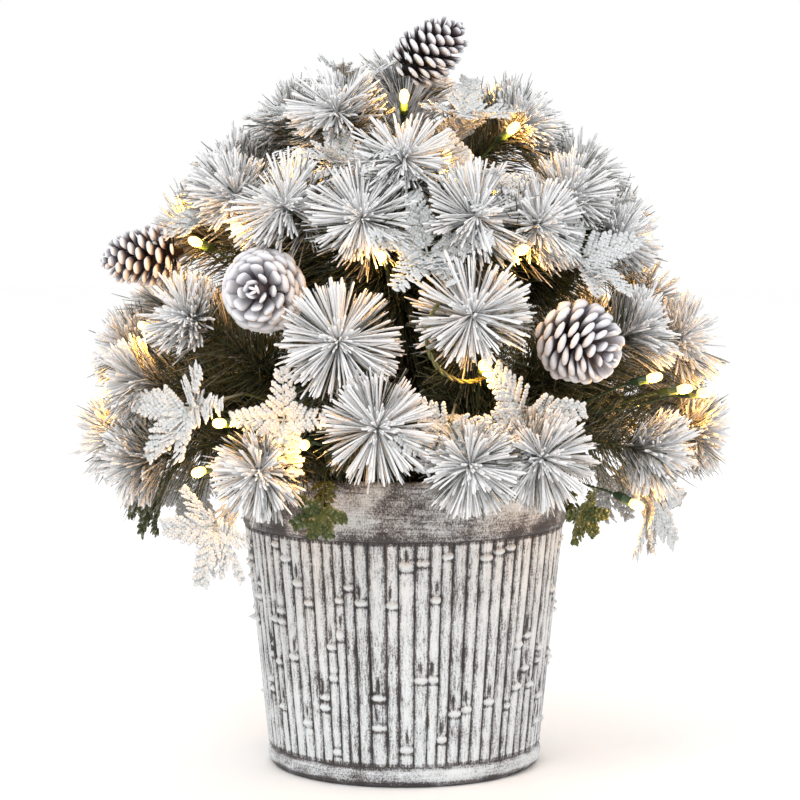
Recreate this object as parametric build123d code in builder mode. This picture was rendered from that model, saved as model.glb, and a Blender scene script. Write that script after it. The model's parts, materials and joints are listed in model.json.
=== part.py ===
from build123d import *
import os
from collections import namedtuple
from math import cos, pi, radians, sin

# Flocked tabletop tree: a round bush of pine and cedar sprigs with cones and small lamps, on a trunk
# that stands in a cane-pattern pot. Millimetres, +Z up, origin at the centre of the pot's foot, front
# towards -Y. A place or a direction is (azimuth, elevation) in degrees: azimuth runs from the front
# towards +X, and elevation is above the horizontal.

# ---------------------------------------------------------------- driving dimensions

# Pot
POT_HEIGHT = 241.5
RIM_BAND = 47.0
RIM_RADIUS = 130.5
CANE_COUNT = 74
CANE_RELIEF = 2.4
CANE_TOP_RADIUS = 128.5
CANE_FOOT_RADIUS = 110.0
BEAD_HEIGHT = 17.0
BEAD_RADIUS = 111.0
FOOT_RADIUS = 106.0
POT_FLOOR = 6.0
CAVITY_FLOOR_RADIUS = 102.0
CAVITY_MOUTH_RADIUS = 122.0

# What fills the pot, from the floor up
BALLAST_TOP = 34.0
FOAM_FOOT = 155.5
FOAM_TOP = 192.5
MOSS_TOP = 212.5
FILL_GAP = 0.5

# Trunk and the two collars that hold the boughs
TRUNK_RADIUS = 9.0
TRUNK_FOOT = 14.0
CROWN_HUB_HEIGHT = 439.5
CROWN_HUB_RADIUS = 12.0
COLLAR_RADIUS = 13.0
COLLAR_THICKNESS = 2.0

# Boughs: a knuckle at the trunk, a stem of thick wire, and a hub that the sprigs fan out from. A tier's
# cedar blades lean down from their wires, or up where the lean is below zero.
KNUCKLE_RADIUS = 4.0
KNUCKLE_GAP = 0.3
PIVOT_RADIUS = TRUNK_RADIUS + KNUCKLE_GAP + KNUCKLE_RADIUS
STEM_RADIUS = 2.5
HUB_RADIUS = 10.0
Tier = namedtuple("Tier", "height stem_length stem_elevation cedar_lean")
LOWER = Tier(279.5, 72.0, 3.0, 26.0)
UPPER = Tier(339.5, 66.0, 35.0, -8.0)

# The outline that the sprigs' ends lie on: an ellipse where the fullness is 2, more pointed below that
DOME_HEIGHT = 277.5
DOME_RADIUS = 250.0
DOME_RISE = 303.0
DOME_FULLNESS = 1.6

# Sprigs, lamps and cones
PINE_WIRE = 1.25
PINE_LENGTH = 86.0
PINE_ROOT_RADIUS = 3.5
PINE_END_RADIUS = 11.0
PINE_NOSE = 8.0
CEDAR_WIRE = 1.0
CEDAR_LENGTH = 72.0
CEDAR_WIDTH = 30.0
CEDAR_THICKNESS = 2.4
LEAD_RADIUS = 0.9
HOLDER_RADIUS = 3.6
HOLDER_LENGTH = 16.0
BULB_RADIUS = 2.8
BULB_LENGTH = 11.0
BULB_GAP = 0.1
LAMP_DEPTH = 1.0
CONE_TIERS = 7
CONE_WIRE = 1.25
CONE_NECK = (2.5, 4.0)
WIRE_END_GAP = 1.5

# Battery case, standing upright in the moss behind the trunk
CASE_WIDTH = 66.0
CASE_FRONT = 72.0
CASE_BACK = 98.0
CASE_FOOT = 159.5
CASE_TOP = 219.5
CASE_WALL = 2.0
GROOVE_DEPTH = 1.0
COVER_THICKNESS = 2.0
COVER_GAP = 0.3
CELL_RADIUS = 7.2
CELL_FOOT = 166.0
CELL_LENGTH = 48.0
CELL_NUB = (2.7, 1.5)
CELL_PLACES = (-23.3, -8.0, 7.3)
CELL_ROW = 84.0
BOARD_HEIGHT = 205.5
BOARD_SIZE = (13.0, 18.0, 1.6)
SWITCH_SIZE = (6.0, 6.0, 3.6)
SWITCH_PLUNGER = (1.75, 1.0)
BUTTON_PLACE = (24.0, 84.0)
BUTTON_RADIUS = 4.0
BUTTON_FLANGE = 1.5
RISER_RADIUS = 1.2
RISER_AZIMUTH = 144.0
RISER_TOP = 411.5

# ---------------------------------------------------------------- where the foliage goes

Bough = namedtuple("Bough", "name azimuth tier pine cedar lamps")
Cone = namedtuple("Cone", "name bough place depth axis length radius")


def make_bough(name, azimuth, tier, pine, cedar, lamps):
    """A bough whose places are given by their offset in azimuth from its own azimuth."""
    groups = []
    for offsets in (pine, cedar, lamps):
        groups.append([(azimuth + offset, elevation) for offset, elevation in offsets])
    return Bough(name, azimuth, tier, *groups)


BOUGHS = [
    make_bough(
        "lower_1", -36, LOWER,
        pine=[(32, 4), (24, 20), (-16, 24), (-29, 10), (-27, -6), (9, -5)],
        cedar=[(13, 11), (-12, 12), (-9, -14), (21, -8)],
        lamps=[(19, 1), (2, 4), (-26, 20), (-3, -5)],
    ),
    make_bough(
        "lower_2", 36, LOWER,
        pine=[(-23, 25), (-25, -3), (-11, -2), (19, -3), (21, 21)],
        cedar=[(-29, 10), (-13, 12), (4, -10), (30, -10)],
        lamps=[(-22, 15), (17, 11), (28, 8), (12, -12)],
    ),
    make_bough(
        "lower_3", 108, LOWER,
        pine=[(-25, 17), (1, 24), (28, 18), (-20, -3), (4, 3), (27, -4)],
        cedar=[(-12, 12), (-8, -13), (16, -12)],
        lamps=[(-30, 6), (14, 24), (16, 0)],
    ),
    make_bough(
        "lower_4", 180, LOWER,
        pine=[(-26, 18), (-2, 24), (25, 17), (-27, -4), (-4, 2), (19, -4)],
        cedar=[(-14, 13), (11, 13), (-16, -11), (8, -13)],
        lamps=[(-16, 0), (29, 6), (-14, 24)],
    ),
    make_bough(
        "lower_5", -108, LOWER,
        pine=[(-27, 17), (-1, 24), (24, 15), (-26, -3), (-3, 3), (20, -4)],
        cedar=[(12, 12), (-15, -13), (9, -12)],
        lamps=[(29, 6), (-13, 24), (-15, 0)],
    ),
    make_bough(
        "upper_1", 0, UPPER,
        pine=[(-11, 44), (19, 44), (-34, 46), (37, 42), (0, 57)],
        cedar=[(24, 53), (-22, 58), (6, 35)],
        lamps=[(-34, 56), (13, 56), (27, 36), (-5, 35), (-43, 40)],
    ),
    make_bough(
        "upper_2", 90, UPPER,
        pine=[(-36, 49), (-24, 38), (3, 40), (26, 39), (8, 54)],
        cedar=[(-45, 33), (-12, 47), (20, 47), (36, 47)],
        lamps=[(-12, 37), (15, 35), (36, 35)],
    ),
    make_bough(
        "upper_3", 180, UPPER,
        pine=[(-28, 40), (-2, 40), (27, 39), (-14, 53), (17, 54)],
        cedar=[(-16, 43), (12, 43), (1, 50)],
        lamps=[(-14, 36), (13, 35), (-28, 50)],
    ),
    make_bough(
        "upper_4", -90, UPPER,
        pine=[(34, 49), (-4, 40), (-28, 41), (12, 52), (-12, 55)],
        cedar=[(24, 44), (-20, 47), (-34, 51)],
        lamps=[(4, 46), (-16, 36), (34, 37)],
    ),
]

CROWN_PINE = [(-34, 68), (66, 65), (100, 67), (142, 65), (-165, 67), (-108, 66), (180, 77)]
CROWN_CEDAR = [(-66, 68), (32, 67), (-90, 80)]
CROWN_LAMPS = [(0, 70), (118, 72), (-135, 67), (44, 62)]
CROWN_LEAN = -8.0

CONES = [
    Cone("cone_crown", "crown", (25, 80), 1.02, (78, 38), 68, 25),
    Cone("cone_left", "upper_4", (-77, 32), 1.02, (-84, -8), 70, 25),
    Cone("cone_front_left", "upper_1", (-33, 30), 0.92, (-14, 2), 58, 33),
    Cone("cone_front_right", "lower_2", (40, 19), 0.90, (50, -20), 70, 33),
    Cone("cone_right", "lower_3", (122, 12), 0.88, (122, 4), 68, 26),
    Cone("cone_back", "upper_3", (212, 48), 0.92, (212, 34), 66, 25),
    Cone("cone_back_left", "lower_5", (-121, 11), 0.88, (-120, -2), 68, 26),
]

# ---------------------------------------------------------------- places and directions


def direction(azimuth, elevation):
    """Unit vector for an azimuth from the front towards +X and an elevation."""
    level = cos(radians(elevation))
    return Vector(level * sin(radians(azimuth)), -level * cos(radians(azimuth)), sin(radians(elevation)))


def ring_point(azimuth, radius, height):
    return direction(azimuth, 0) * radius + Vector(0, 0, height)


def dome_point(azimuth, elevation, depth=1.0):
    """The point of the dome seen from its centre; depth below 1 lies inside it."""
    level = abs(cos(radians(elevation)) / DOME_RADIUS) ** DOME_FULLNESS
    rise = abs(sin(radians(elevation)) / DOME_RISE) ** DOME_FULLNESS
    reach = (level + rise) ** (-1 / DOME_FULLNESS)
    return Vector(0, 0, DOME_HEIGHT) + direction(azimuth, elevation) * reach * depth


def bough_pivot(bough):
    return ring_point(bough.azimuth, PIVOT_RADIUS, bough.tier.height)


def bough_hub(bough):
    tier = bough.tier
    return bough_pivot(bough) + direction(bough.azimuth, tier.stem_elevation) * tier.stem_length


def spin_plane(start, end):
    """Plane with its origin at start and its Y axis towards end, for a profile spun about that axis."""
    along = (end - start).normalized()
    upright = Vector(1, 0, 0) if abs(along.Z) > 0.9 else Vector(0, 0, 1)
    side = along.cross(upright).normalized()
    return Plane(origin=start, x_dir=side, z_dir=side.cross(along))


def cavity_radius(height):
    share = (height - POT_FLOOR) / (POT_HEIGHT - POT_FLOOR)
    return CAVITY_FLOOR_RADIUS + (CAVITY_MOUTH_RADIUS - CAVITY_FLOOR_RADIUS) * share


def save(name, part):
    part.label = name
    export_step(part, f"parts/{name}.step")


# ---------------------------------------------------------------- pot and what fills it


def cane_ring(radius):
    """A closed ring of arcs, one round crest for each cane."""
    step = 2 * pi / CANE_COUNT
    groove = radius - CANE_RELIEF
    for index in range(CANE_COUNT):
        first, middle, last = index * step, (index + 0.5) * step, (index + 1) * step
        ThreePointArc(
            (groove * cos(first), groove * sin(first)),
            (radius * cos(middle), radius * sin(middle)),
            (groove * cos(last), groove * sin(last)),
        )


def make_pot():
    band_foot = POT_HEIGHT - RIM_BAND
    with BuildPart() as pot:
        for height, radius in ((BEAD_HEIGHT - 1, CANE_FOOT_RADIUS), (band_foot + 1, CANE_TOP_RADIUS)):
            with BuildSketch(Plane.XY.offset(height)):
                with BuildLine():
                    cane_ring(radius)
                make_face()
        loft(ruled=True)
        # Foot bead and rim band are spun about the pot's axis
        with BuildSketch(Plane.XZ):
            with BuildLine():
                Polyline((0, BEAD_HEIGHT), (0, 0), (FOOT_RADIUS, 0))
                ThreePointArc(
                    (FOOT_RADIUS, 0), (BEAD_RADIUS, BEAD_HEIGHT * 0.45), (CANE_FOOT_RADIUS - 2, BEAD_HEIGHT)
                )
                Line((CANE_FOOT_RADIUS - 2, BEAD_HEIGHT), (0, BEAD_HEIGHT))
            make_face()
            with BuildLine():
                Polyline(
                    (0, band_foot),
                    (RIM_RADIUS - 2, band_foot),
                    (RIM_RADIUS, band_foot + 2),
                    (RIM_RADIUS, POT_HEIGHT - 3),
                    (RIM_RADIUS - 3, POT_HEIGHT),
                    (0, POT_HEIGHT),
                    close=True,
                )
            make_face()
        revolve(axis=Axis.Z)
        # The cavity widens towards the mouth
        with BuildSketch(Plane.XZ):
            with BuildLine():
                Polyline(
                    (0, POT_FLOOR),
                    (CAVITY_FLOOR_RADIUS, POT_FLOOR),
                    (CAVITY_MOUTH_RADIUS, POT_HEIGHT),
                    (0, POT_HEIGHT),
                    close=True,
                )
            make_face()
        revolve(axis=Axis.Z, mode=Mode.SUBTRACT)
    return pot.part


def make_fill(bottom, top):
    """A plug that fills the pot's cavity between two heights, around the trunk and the battery case."""
    with BuildPart() as fill:
        with BuildSketch(Plane.XZ):
            with BuildLine():
                Polyline(
                    (0, bottom),
                    (cavity_radius(bottom) - FILL_GAP, bottom),
                    (cavity_radius(top) - FILL_GAP, top),
                    (0, top),
                    close=True,
                )
            make_face()
        revolve(axis=Axis.Z)
        with BuildSketch(Plane.XY.offset(max(bottom, TRUNK_FOOT))):
            Circle(TRUNK_RADIUS)
        extrude(amount=top, mode=Mode.SUBTRACT)
        if top > CASE_FOOT:
            with BuildSketch(Plane.XY.offset(max(bottom, CASE_FOOT))):
                with Locations((0, (CASE_FRONT + CASE_BACK) / 2)):
                    Rectangle(CASE_WIDTH + 1, CASE_BACK - CASE_FRONT + 1)
            extrude(amount=top, mode=Mode.SUBTRACT)
    return fill.part


# ---------------------------------------------------------------- trunk and stems


def make_trunk():
    with BuildPart() as trunk:
        with BuildSketch(Plane.XY.offset(TRUNK_FOOT)):
            Circle(TRUNK_RADIUS)
        extrude(amount=CROWN_HUB_HEIGHT - TRUNK_FOOT)
        with Locations((0, 0, CROWN_HUB_HEIGHT)):
            Sphere(CROWN_HUB_RADIUS)
        # Each tier's knuckles sit between two rings
        for tier in (LOWER, UPPER):
            for side in (-1, 1):
                ring_middle = tier.height + side * (KNUCKLE_RADIUS + 0.5 + COLLAR_THICKNESS / 2)
                with BuildSketch(Plane.XY.offset(ring_middle)):
                    Circle(COLLAR_RADIUS)
                extrude(amount=COLLAR_THICKNESS / 2, both=True)
    return trunk.part


def make_stem(bough):
    pivot, hub = bough_pivot(bough), bough_hub(bough)
    with BuildPart() as stem:
        with BuildSketch(Plane(origin=pivot, z_dir=hub - pivot)):
            Circle(STEM_RADIUS)
        extrude(amount=(hub - pivot).length)
        with Locations(pivot):
            Sphere(KNUCKLE_RADIUS)
        with Locations(hub):
            Sphere(HUB_RADIUS)
    return stem.part


# ---------------------------------------------------------------- sprigs, lamps and cones


def make_pine(hub, hub_radius, places):
    """Pine sprigs: each a wire from the hub with the stiff core that its needles grow from."""
    with BuildPart() as pine:
        for place in places:
            end = dome_point(*place)
            length = (end - hub).length
            with BuildSketch(spin_plane(hub, end)):
                with BuildLine():
                    Polyline(
                        (0, hub_radius),
                        (PINE_WIRE, hub_radius),
                        (PINE_WIRE, length - PINE_LENGTH),
                        (PINE_ROOT_RADIUS, length - PINE_LENGTH),
                        (PINE_END_RADIUS, length - PINE_NOSE),
                        (PINE_END_RADIUS / 2, length),
                        (0, length),
                        close=True,
                    )
                make_face()
            revolve(axis=Axis(hub, end - hub))
    return pine.part


def cedar_blade(hub, place, lean_angle):
    """Root, direction and face normal of a cedar blade, which leans from its wire."""
    end = dome_point(*place)
    along = (end - hub).normalized()
    root = end - along * CEDAR_LENGTH
    droop = Vector(0, 0, -1) - along * along.dot(Vector(0, 0, -1))
    droop = droop.normalized()
    lean = radians(lean_angle)
    blade = along * cos(lean) + droop * sin(lean)
    face = along * sin(lean) - droop * cos(lean)
    return root, blade, face


def make_cedar(hub, hub_radius, places, lean_angle):
    """Cedar sprigs: each a wire from the hub, and one flat tapered blade at its end."""
    half = CEDAR_WIDTH / 2
    with BuildPart() as cedar:
        for place in places:
            root, blade, face = cedar_blade(hub, place, lean_angle)
            wire = (root - hub).normalized()
            with BuildSketch(Plane(origin=hub + wire * hub_radius, z_dir=wire)):
                Circle(CEDAR_WIRE)
            extrude(amount=(root - hub).length - hub_radius - WIRE_END_GAP)
            with BuildSketch(Plane(origin=root, x_dir=blade, z_dir=face)):
                with BuildLine():
                    Polyline(
                        (0, -2),
                        (CEDAR_LENGTH * 0.35, -half),
                        (CEDAR_LENGTH * 0.7, -half * 0.8),
                        (CEDAR_LENGTH, -2),
                        (CEDAR_LENGTH, 2),
                        (CEDAR_LENGTH * 0.7, half * 0.8),
                        (CEDAR_LENGTH * 0.35, half),
                        (0, 2),
                        close=True,
                    )
                make_face()
            extrude(amount=CEDAR_THICKNESS / 2, both=True)
    return cedar.part


def make_lamps(hub, hub_radius, places, run_start=None):
    """Lamps: each a bulb in its holder, with its pair of leads drawn as one wire back to the hub."""
    with BuildPart() as lamps:
        for place in places:
            end = dome_point(*place, depth=LAMP_DEPTH)
            holder_end = (end - hub).length - BULB_LENGTH
            with BuildSketch(spin_plane(hub, end)):
                with BuildLine():
                    Polyline(
                        (0, hub_radius),
                        (LEAD_RADIUS, hub_radius),
                        (LEAD_RADIUS, holder_end - HOLDER_LENGTH),
                        (HOLDER_RADIUS, holder_end - HOLDER_LENGTH + 3),
                        (HOLDER_RADIUS, holder_end),
                        (0, holder_end),
                        close=True,
                    )
                make_face()
                bulb_foot = holder_end + BULB_GAP
                with BuildLine():
                    Polyline(
                        (0, bulb_foot),
                        (BULB_RADIUS, bulb_foot),
                        (BULB_RADIUS, bulb_foot + BULB_LENGTH - 5),
                        (BULB_RADIUS / 3, bulb_foot + BULB_LENGTH),
                        (0, bulb_foot + BULB_LENGTH),
                        close=True,
                    )
                make_face()
            revolve(axis=Axis(hub, end - hub))
        # The run of leads beside the bough's stem
        if run_start is not None:
            along = (hub - run_start).normalized()
            beside = along.cross(Vector(0, 0, 1)).normalized() * (STEM_RADIUS + 2.5)
            start = run_start + along * (KNUCKLE_RADIUS + 2)
            with BuildSketch(Plane(origin=start + beside, z_dir=along)):
                Circle(LEAD_RADIUS * 1.5)
            extrude(amount=(hub - start).length - HUB_RADIUS)
    return lamps.part


def cone_outline(length, radius):
    """Half outline of a cone: a neck, then one tooth for each tier of scales, fullest below the middle."""
    neck_radius, neck_length = CONE_NECK
    points = [(0, -neck_length), (neck_radius, -neck_length), (neck_radius, 0)]
    for tier in range(CONE_TIERS):
        low, high = tier / CONE_TIERS, (tier + 1) / CONE_TIERS
        swell = sin(pi * (0.16 + 0.78 * high)) ** 0.7
        points.append((radius * swell * 0.72, length * low))
        points.append((radius * swell, length * (low + 0.7 * (high - low))))
    return points + [(radius * 0.2, length), (0, length)]


def make_cone(cone, hub, hub_radius):
    """One pine cone, and the wire from the hub that ends at its neck."""
    centre = dome_point(*cone.place, depth=cone.depth)
    axis = direction(*cone.axis)
    base = centre - axis * cone.length / 2
    neck = base - axis * CONE_NECK[1]
    wire = (neck - hub).normalized()
    with BuildPart() as scales:
        with BuildSketch(spin_plane(base, centre)):
            with BuildLine():
                Polyline(*cone_outline(cone.length, cone.radius), close=True)
            make_face()
        revolve(axis=Axis(base, axis))
        with BuildSketch(Plane(origin=hub + wire * hub_radius, z_dir=wire)):
            Circle(CONE_WIRE)
        extrude(amount=(neck - hub).length - hub_radius - WIRE_END_GAP - CONE_WIRE)
    return scales.part


# ---------------------------------------------------------------- battery case


def make_case():
    middle = (CASE_FRONT + CASE_BACK) / 2
    inner_width = CASE_WIDTH - 2 * CASE_WALL
    groove_back = CASE_BACK - 0.4
    groove_front = groove_back - COVER_THICKNESS - 2 * COVER_GAP
    with BuildPart() as case:
        with BuildSketch(Plane.XY.offset(CASE_FOOT)):
            with Locations((0, middle)):
                Rectangle(CASE_WIDTH, CASE_BACK - CASE_FRONT)
        extrude(amount=CASE_TOP - CASE_FOOT)
        # The compartment is open at the back
        with BuildSketch(Plane.XY.offset(CASE_FOOT + CASE_WALL)):
            with Locations((0, (CASE_FRONT + CASE_WALL + CASE_BACK) / 2)):
                Rectangle(inner_width, CASE_BACK - CASE_FRONT - CASE_WALL)
        extrude(amount=CASE_TOP - CASE_FOOT - 2 * CASE_WALL, mode=Mode.SUBTRACT)
        # The cover's grooves run out at the top
        with BuildSketch(Plane.XY.offset(CASE_FOOT + CASE_WALL)):
            with Locations((0, (groove_front + groove_back) / 2)):
                Rectangle(inner_width + 2 * GROOVE_DEPTH, groove_back - groove_front)
        extrude(amount=CASE_TOP - CASE_FOOT, mode=Mode.SUBTRACT)
        with BuildSketch(Plane.XY.offset(CASE_FOOT + CASE_WALL)):
            with Locations((0, (groove_front + CASE_BACK) / 2)):
                Rectangle(inner_width, CASE_BACK - groove_front)
        extrude(amount=CASE_TOP - CASE_FOOT, mode=Mode.SUBTRACT)
        # Ledge under the control board, and the button's hole
        with BuildSketch(Plane.XY.offset(BOARD_HEIGHT - 2)):
            with Locations((BUTTON_PLACE[0], CASE_FRONT + CASE_WALL + 1)):
                Rectangle(12, 2.2)
        extrude(amount=2)
        with BuildSketch(Plane.XY.offset(CASE_TOP - CASE_WALL)):
            with Locations(BUTTON_PLACE):
                Circle(BUTTON_RADIUS + COVER_GAP)
        extrude(amount=CASE_WALL, mode=Mode.SUBTRACT)
    return case.part


def make_cover():
    width = CASE_WIDTH - 2 * CASE_WALL + 2 * GROOVE_DEPTH - 2 * COVER_GAP
    back = CASE_BACK - 0.4 - COVER_GAP
    foot = CASE_FOOT + CASE_WALL + COVER_GAP
    with BuildPart() as cover:
        with BuildSketch(Plane.XY.offset(foot)):
            with Locations((0, back - COVER_THICKNESS / 2)):
                Rectangle(width, COVER_THICKNESS)
        extrude(amount=CASE_TOP - foot)
        # Three thumb ridges near the top
        for ridge in range(3):
            with BuildSketch(Plane.XY.offset(CASE_TOP - 8 - 4 * ridge)):
                with Locations((0, back + 0.4)):
                    Rectangle(20, 1)
            extrude(amount=1.5)
    return cover.part


def make_cells():
    nub_radius, nub_length = CELL_NUB
    with BuildPart() as cells:
        for place in CELL_PLACES:
            with BuildSketch(Plane.XY.offset(CELL_FOOT)):
                with Locations((place, CELL_ROW)):
                    Circle(CELL_RADIUS)
            extrude(amount=CELL_LENGTH)
            with BuildSketch(Plane.XY.offset(CELL_FOOT + CELL_LENGTH)):
                with Locations((place, CELL_ROW)):
                    Circle(nub_radius)
            extrude(amount=nub_length)
    return cells.part


def make_contacts():
    """A spring post under each cell, and a strip over its nub."""
    spring_height = CELL_FOOT - CASE_FOOT - CASE_WALL
    strip_foot = CELL_FOOT + CELL_LENGTH + CELL_NUB[1]
    with BuildPart() as contacts:
        for place in CELL_PLACES:
            with BuildSketch(Plane.XY.offset(CASE_FOOT + CASE_WALL)):
                with Locations((place, CELL_ROW)):
                    Circle(4)
            extrude(amount=spring_height, taper=12)
            with BuildSketch(Plane.XY.offset(strip_foot)):
                with Locations((place, CELL_ROW)):
                    Rectangle(10, 8)
            extrude(amount=CASE_TOP - CASE_WALL - strip_foot)
    return contacts.part


def make_board():
    """Control board with the timer's switch under the button."""
    x, y = BUTTON_PLACE
    switch_foot = BOARD_HEIGHT + BOARD_SIZE[2]
    with BuildPart() as board:
        with BuildSketch(Plane.XY.offset(BOARD_HEIGHT)):
            with Locations((x, y)):
                Rectangle(BOARD_SIZE[0], BOARD_SIZE[1])
        extrude(amount=BOARD_SIZE[2])
        with BuildSketch(Plane.XY.offset(switch_foot)):
            with Locations((x, y)):
                Rectangle(SWITCH_SIZE[0], SWITCH_SIZE[1])
        extrude(amount=SWITCH_SIZE[2])
        with BuildSketch(Plane.XY.offset(switch_foot + SWITCH_SIZE[2])):
            with Locations((x, y)):
                Circle(SWITCH_PLUNGER[0])
        extrude(amount=SWITCH_PLUNGER[1])
        # The timer's chip, on the underside
        with BuildSketch(Plane.XY.offset(BOARD_HEIGHT - 1.8)):
            with Locations((x, y + 3)):
                Rectangle(8, 6)
        extrude(amount=1.8)
    return board.part


def make_button():
    with BuildPart() as button:
        with BuildSketch(Plane.XY.offset(CASE_TOP - CASE_WALL - 2)):
            with Locations(BUTTON_PLACE):
                Circle(BUTTON_RADIUS + BUTTON_FLANGE)
        extrude(amount=1.4)
        with BuildSketch(Plane.XY.offset(CASE_TOP - CASE_WALL - 2)):
            with Locations(BUTTON_PLACE):
                Circle(BUTTON_RADIUS)
        extrude(amount=CASE_WALL + 4)
        top_edge = button.edges().group_by(Axis.Z)[-1]
        fillet(top_edge, radius=0.8)
    return button.part


def make_riser():
    """The lamp string's lead: from the case across the moss, then up the trunk."""
    foot = ring_point(RISER_AZIMUTH, COLLAR_RADIUS + RISER_RADIUS + 0.5, MOSS_TOP + 3)
    with BuildPart() as riser:
        with BuildLine() as route:
            FilletPolyline(
                (foot.X, CASE_FRONT, foot.Z),
                (foot.X, foot.Y, foot.Z),
                (foot.X, foot.Y, RISER_TOP),
                radius=12,
            )
        with BuildSketch(Plane(origin=route.line @ 0, z_dir=route.line % 0)):
            Circle(RISER_RADIUS)
        sweep()
    return riser.part


# ---------------------------------------------------------------- the tree


def make_tree():
    save("pot", make_pot())
    save("ballast", make_fill(POT_FLOOR, BALLAST_TOP))
    save("foam_plug", make_fill(FOAM_FOOT, FOAM_TOP))
    save("moss_cover", make_fill(FOAM_TOP, MOSS_TOP))
    save("trunk", make_trunk())
    save("riser_wire", make_riser())

    save("battery_case", make_case())
    save("battery_cover", make_cover())
    save("battery_cells", make_cells())
    save("battery_contacts", make_contacts())
    save("control_board", make_board())
    save("timer_button", make_button())

    for bough in BOUGHS:
        hub = bough_hub(bough)
        save(f"stem_{bough.name}", make_stem(bough))
        save(f"pine_{bough.name}", make_pine(hub, HUB_RADIUS, bough.pine))
        save(f"cedar_{bough.name}", make_cedar(hub, HUB_RADIUS, bough.cedar, bough.tier.cedar_lean))
        save(f"lamps_{bough.name}", make_lamps(hub, HUB_RADIUS, bough.lamps, bough_pivot(bough)))

    crown_hub = Vector(0, 0, CROWN_HUB_HEIGHT)
    save("pine_crown", make_pine(crown_hub, CROWN_HUB_RADIUS, CROWN_PINE))
    save("cedar_crown", make_cedar(crown_hub, CROWN_HUB_RADIUS, CROWN_CEDAR, CROWN_LEAN))
    save("lamps_crown", make_lamps(crown_hub, CROWN_HUB_RADIUS, CROWN_LAMPS))

    hubs = {bough.name: (bough_hub(bough), HUB_RADIUS) for bough in BOUGHS}
    hubs["crown"] = (crown_hub, CROWN_HUB_RADIUS)
    for cone in CONES:
        save(cone.name, make_cone(cone, *hubs[cone.bough]))


os.makedirs("parts", exist_ok=True)
make_tree()
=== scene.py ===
import json
import math
from collections import namedtuple

import bpy
import numpy as np
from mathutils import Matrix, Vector


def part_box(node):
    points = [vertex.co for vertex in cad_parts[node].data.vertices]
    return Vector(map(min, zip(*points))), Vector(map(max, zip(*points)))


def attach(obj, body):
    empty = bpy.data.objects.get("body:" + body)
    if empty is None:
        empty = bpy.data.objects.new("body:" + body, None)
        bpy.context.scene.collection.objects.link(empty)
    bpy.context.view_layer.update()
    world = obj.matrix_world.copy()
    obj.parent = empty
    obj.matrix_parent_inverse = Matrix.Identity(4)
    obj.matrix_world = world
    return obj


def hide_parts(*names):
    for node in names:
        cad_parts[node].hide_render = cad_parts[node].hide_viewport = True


# Looks of the flocked tabletop tree. Metres throughout; MM turns millimetres into metres.
# Every sprig, cone and lamp stands where its CAD solid stands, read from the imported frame.

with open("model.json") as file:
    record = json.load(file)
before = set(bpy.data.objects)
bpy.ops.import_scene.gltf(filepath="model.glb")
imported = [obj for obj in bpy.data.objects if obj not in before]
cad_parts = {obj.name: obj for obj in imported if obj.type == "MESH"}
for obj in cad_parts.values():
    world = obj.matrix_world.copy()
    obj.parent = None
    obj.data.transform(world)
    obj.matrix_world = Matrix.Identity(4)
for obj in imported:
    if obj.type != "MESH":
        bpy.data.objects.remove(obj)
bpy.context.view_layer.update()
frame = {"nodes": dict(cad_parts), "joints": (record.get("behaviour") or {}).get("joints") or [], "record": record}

MM = 0.001
RNG = np.random.default_rng(24)

# ---------------------------------------------------------------- camera, light and floor

CAMERA_DISTANCE = 2.27
CAMERA_HEIGHT = 0.5075
CAMERA_SIDE = -0.0032
AIM_HEIGHT = 0.2925
LENS = 127.5
BUSH_MIDDLE = 0.33
FLOOR_SIZE = 14


def look_at(obj, target):
    obj.rotation_euler = (Vector(target) - obj.location).to_track_quat("-Z", "Y").to_euler()


def make_camera():
    camera = bpy.data.objects.new("camera", bpy.data.cameras.new("camera"))
    camera.data.lens = LENS
    camera.location = (CAMERA_SIDE, -CAMERA_DISTANCE, CAMERA_HEIGHT)
    look_at(camera, (CAMERA_SIDE, 0, AIM_HEIGHT))
    bpy.context.collection.objects.link(camera)
    bpy.context.scene.camera = camera


def area_light(name, place, target, size, power):
    lamp = bpy.data.lights.new(name, "AREA")
    lamp.shape = "DISK"
    lamp.size = size
    lamp.energy = power
    obj = bpy.data.objects.new(name, lamp)
    obj.location = place
    look_at(obj, target)
    bpy.context.collection.objects.link(obj)


def make_studio():
    scene = bpy.context.scene
    scene.view_settings.view_transform = "Standard"
    world = bpy.data.worlds.new("studio")
    world.use_nodes = True
    sky = world.node_tree.nodes["Background"]
    sky.inputs["Color"].default_value = (1.0, 1.0, 1.0, 1)
    sky.inputs["Strength"].default_value = 1.0
    scene.world = world
    middle = (0, 0, BUSH_MIDDLE)
    area_light("key", (-0.9, -1.9, 2.1), middle, 0.9, 26)
    area_light("fill", (1.7, -1.6, 1.1), middle, 1.4, 6)
    area_light("back", (0.4, 1.8, 1.9), middle, 1.2, 10)
    bpy.ops.mesh.primitive_plane_add(size=FLOOR_SIZE, location=(0, 0, -0.5 * MM))
    floor = bpy.context.object
    floor.name = "floor"
    floor.data.materials.append(plain_material("floor", (0.99, 0.99, 0.99), 0.9))


# ---------------------------------------------------------------- materials


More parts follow.
